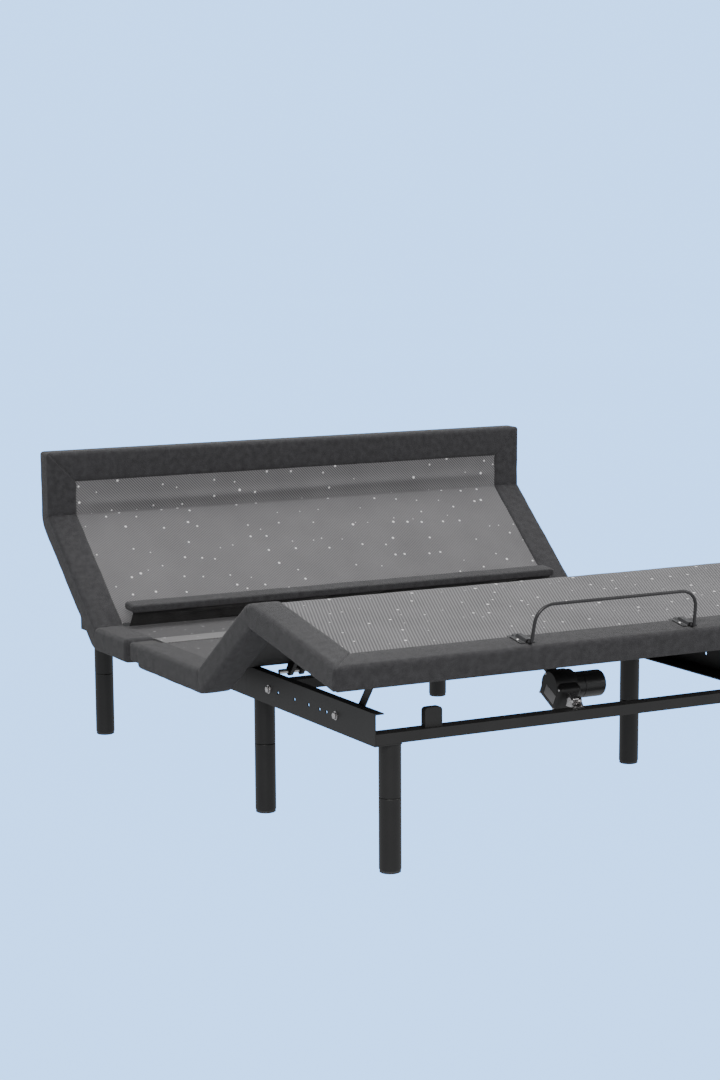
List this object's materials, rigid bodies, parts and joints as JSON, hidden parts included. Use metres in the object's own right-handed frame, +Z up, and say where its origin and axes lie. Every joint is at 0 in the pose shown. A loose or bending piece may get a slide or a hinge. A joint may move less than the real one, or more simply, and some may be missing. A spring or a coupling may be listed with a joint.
{
  "type": "adjustable bed base",
  "caption": "Queen-size adjustable bed base: steel rails on six legs, upholstered sections that raise the head, pillow, lumbar and legs, electric drives and a mattress retainer bar.",
  "frame": {"origin": "centre of the raised base on the floor: midway between the foot end of the deck and the head end of the rails, midway between the two side rails", "axes": "+Z up, +Y from the foot end to the head end, +X to the right seen from the foot end"},
  "size_m": [1.494, 1.8546, 0.8221],
  "materials": {
    "upholstery": "charcoal heathered weave over foam",
    "deck_board": "board wrapped in grey non-slip twill",
    "curtain": "thin glossy black cloth, pleated",
    "leg_plastic": "satin black",
    "bright_steel": "zinc plated",
    "drive_plastic": "fine textured black",
    "black_steel": "satin black powder coat",
    "black_wire": "satin black powder coat"
  },
  "bodies": {
    "root": {"control_box": "drive_plastic", "foot_clevis": "bright_steel", "foot_crossbar": "black_steel", "foot_rail_left": "black_steel", "foot_rail_right": "black_steel", "head_crossbar": "black_steel", "head_rail_left": "black_steel", "head_rail_right": "black_steel", "leg_lower_foot_left": "leg_plastic", "leg_lower_foot_right": "leg_plastic", "leg_lower_head_left": "leg_plastic", "leg_lower_head_right": "leg_plastic", "leg_lower_middle_left": "leg_plastic", "leg_lower_middle_right": "leg_plastic", "leg_upper_foot_left": "leg_plastic", "leg_upper_foot_right": "leg_plastic", "leg_upper_head_left": "leg_plastic", "leg_upper_head_right": "leg_plastic", "leg_upper_middle_left": "leg_plastic", "leg_upper_middle_right": "leg_plastic", "mid_crossbar": "black_steel", "front_seat_border_left": "upholstery", "front_seat_border_right": "upholstery", "rear_seat_border_left": "upholstery", "rear_seat_border_right": "upholstery", "seat_board": "deck_board", "thigh_hinge_rod": "bright_steel", "head_actuator_housing": "drive_plastic"},
    "back": {"back_board": "deck_board", "back_border_left": "upholstery", "back_border_right": "upholstery", "back_lift_lever": "black_steel", "lumbar_actuator": "drive_plastic", "lumbar_curtain": "curtain", "pillow_hinge_rod": "bright_steel", "pillow_actuator": "drive_plastic"},
    "pillow": {"pillow_board": "deck_board", "pillow_border": "upholstery"},
    "lumbar": {"lumbar_board": "upholstery", "lumbar_rod": "bright_steel"},
    "thigh": {"knee_hinge_rod_left": "bright_steel", "knee_hinge_rod_right": "bright_steel", "thigh_board": "deck_board", "thigh_border_left": "upholstery", "thigh_border_right": "upholstery", "thigh_lift_bracket": "black_steel"},
    "calf": {"calf_board": "deck_board", "calf_border_left": "upholstery", "calf_border_right": "upholstery", "foot_border": "upholstery", "retainer_bar": "black_wire", "retainer_plate_left": "black_steel", "retainer_plate_right": "black_steel"},
    "calf_links": {"calf_link_left": "black_steel", "calf_link_right": "black_steel"},
    "foot_actuator": {"foot_actuator_gearbox": "drive_plastic", "foot_actuator_motor": "drive_plastic"},
    "foot_rod": {"foot_actuator_rod": "bright_steel"},
    "head_rod": {"head_actuator_rod": "bright_steel"},
    "pillow_rod": {"pillow_actuator_rod": "bright_steel"}
  },
  "joints": [
    {"name": "back_hinge", "type": "hinge", "parent": "root", "child": "back", "pos_m": [0, 0.45575, 0.363], "axis": [1, 0, 0], "range_deg": [-40, 20]},
    {"name": "pillow_hinge", "type": "hinge", "parent": "back", "child": "pillow", "pos_m": [0, 0.78361, 0.63811], "axis": [1, 0, 0], "range_deg": [-50, 5]},
    {"name": "lumbar_slide", "type": "slide", "parent": "back", "child": "lumbar", "axis": [0, -0.6428, 0.766], "range_m": [-0.02, 0], "deforming": ["lumbar_curtain"]},
    {"name": "thigh_hinge", "type": "hinge", "parent": "root", "child": "thigh", "pos_m": [0, -0.20525, 0.363], "axis": [-1, 0, 0], "range_deg": [-35.9, 4.1]},
    {"name": "knee_hinge", "type": "hinge", "parent": "thigh", "child": "calf", "pos_m": [0, -0.48634, 0.56647], "axis": [1, 0, 0], "range_deg": [-46.25, 5.35]},
    {"name": "calf_link_hinge", "type": "hinge", "parent": "root", "child": "calf_links", "pos_m": [0, -0.69025, 0.363], "axis": [-1, 0, 0], "range_deg": [-52.8, 6.1]},
    {"name": "foot_actuator_hinge", "type": "hinge", "parent": "root", "child": "foot_actuator", "pos_m": [0, -0.78225, 0.3435], "axis": [1, 0, 0], "range_deg": [-24.5, 2.9]},
    {"name": "foot_rod_slide", "type": "slide", "parent": "foot_actuator", "child": "foot_rod", "axis": [0, 0.8839, 0.4677], "range_m": [-0.107, 0.0125]},
    {"name": "head_rod_slide", "type": "slide", "parent": "root", "child": "head_rod", "axis": [0, 0.9957, -0.0929], "range_m": [-0.0633, 0.032]},
    {"name": "pillow_rod_slide", "type": "slide", "parent": "back", "child": "pillow_rod", "axis": [0, 0.766, 0.6428], "range_m": [-0.0492, 0.0052]}
  ],
  "couplings": [
    {"joint": "knee_hinge", "follows": "thigh_hinge", "ratio": 1.2869},
    {"joint": "calf_link_hinge", "follows": "thigh_hinge", "ratio": 1.4692},
    {"joint": "foot_actuator_hinge", "follows": "thigh_hinge", "ratio": 0.68},
    {"joint": "foot_rod_slide", "follows": "thigh_hinge", "m_per_rad": 0.17},
    {"joint": "head_rod_slide", "follows": "back_hinge", "m_per_rad": 0.09},
    {"joint": "pillow_rod_slide", "follows": "pillow_hinge", "m_per_rad": 0.056}
  ]
}
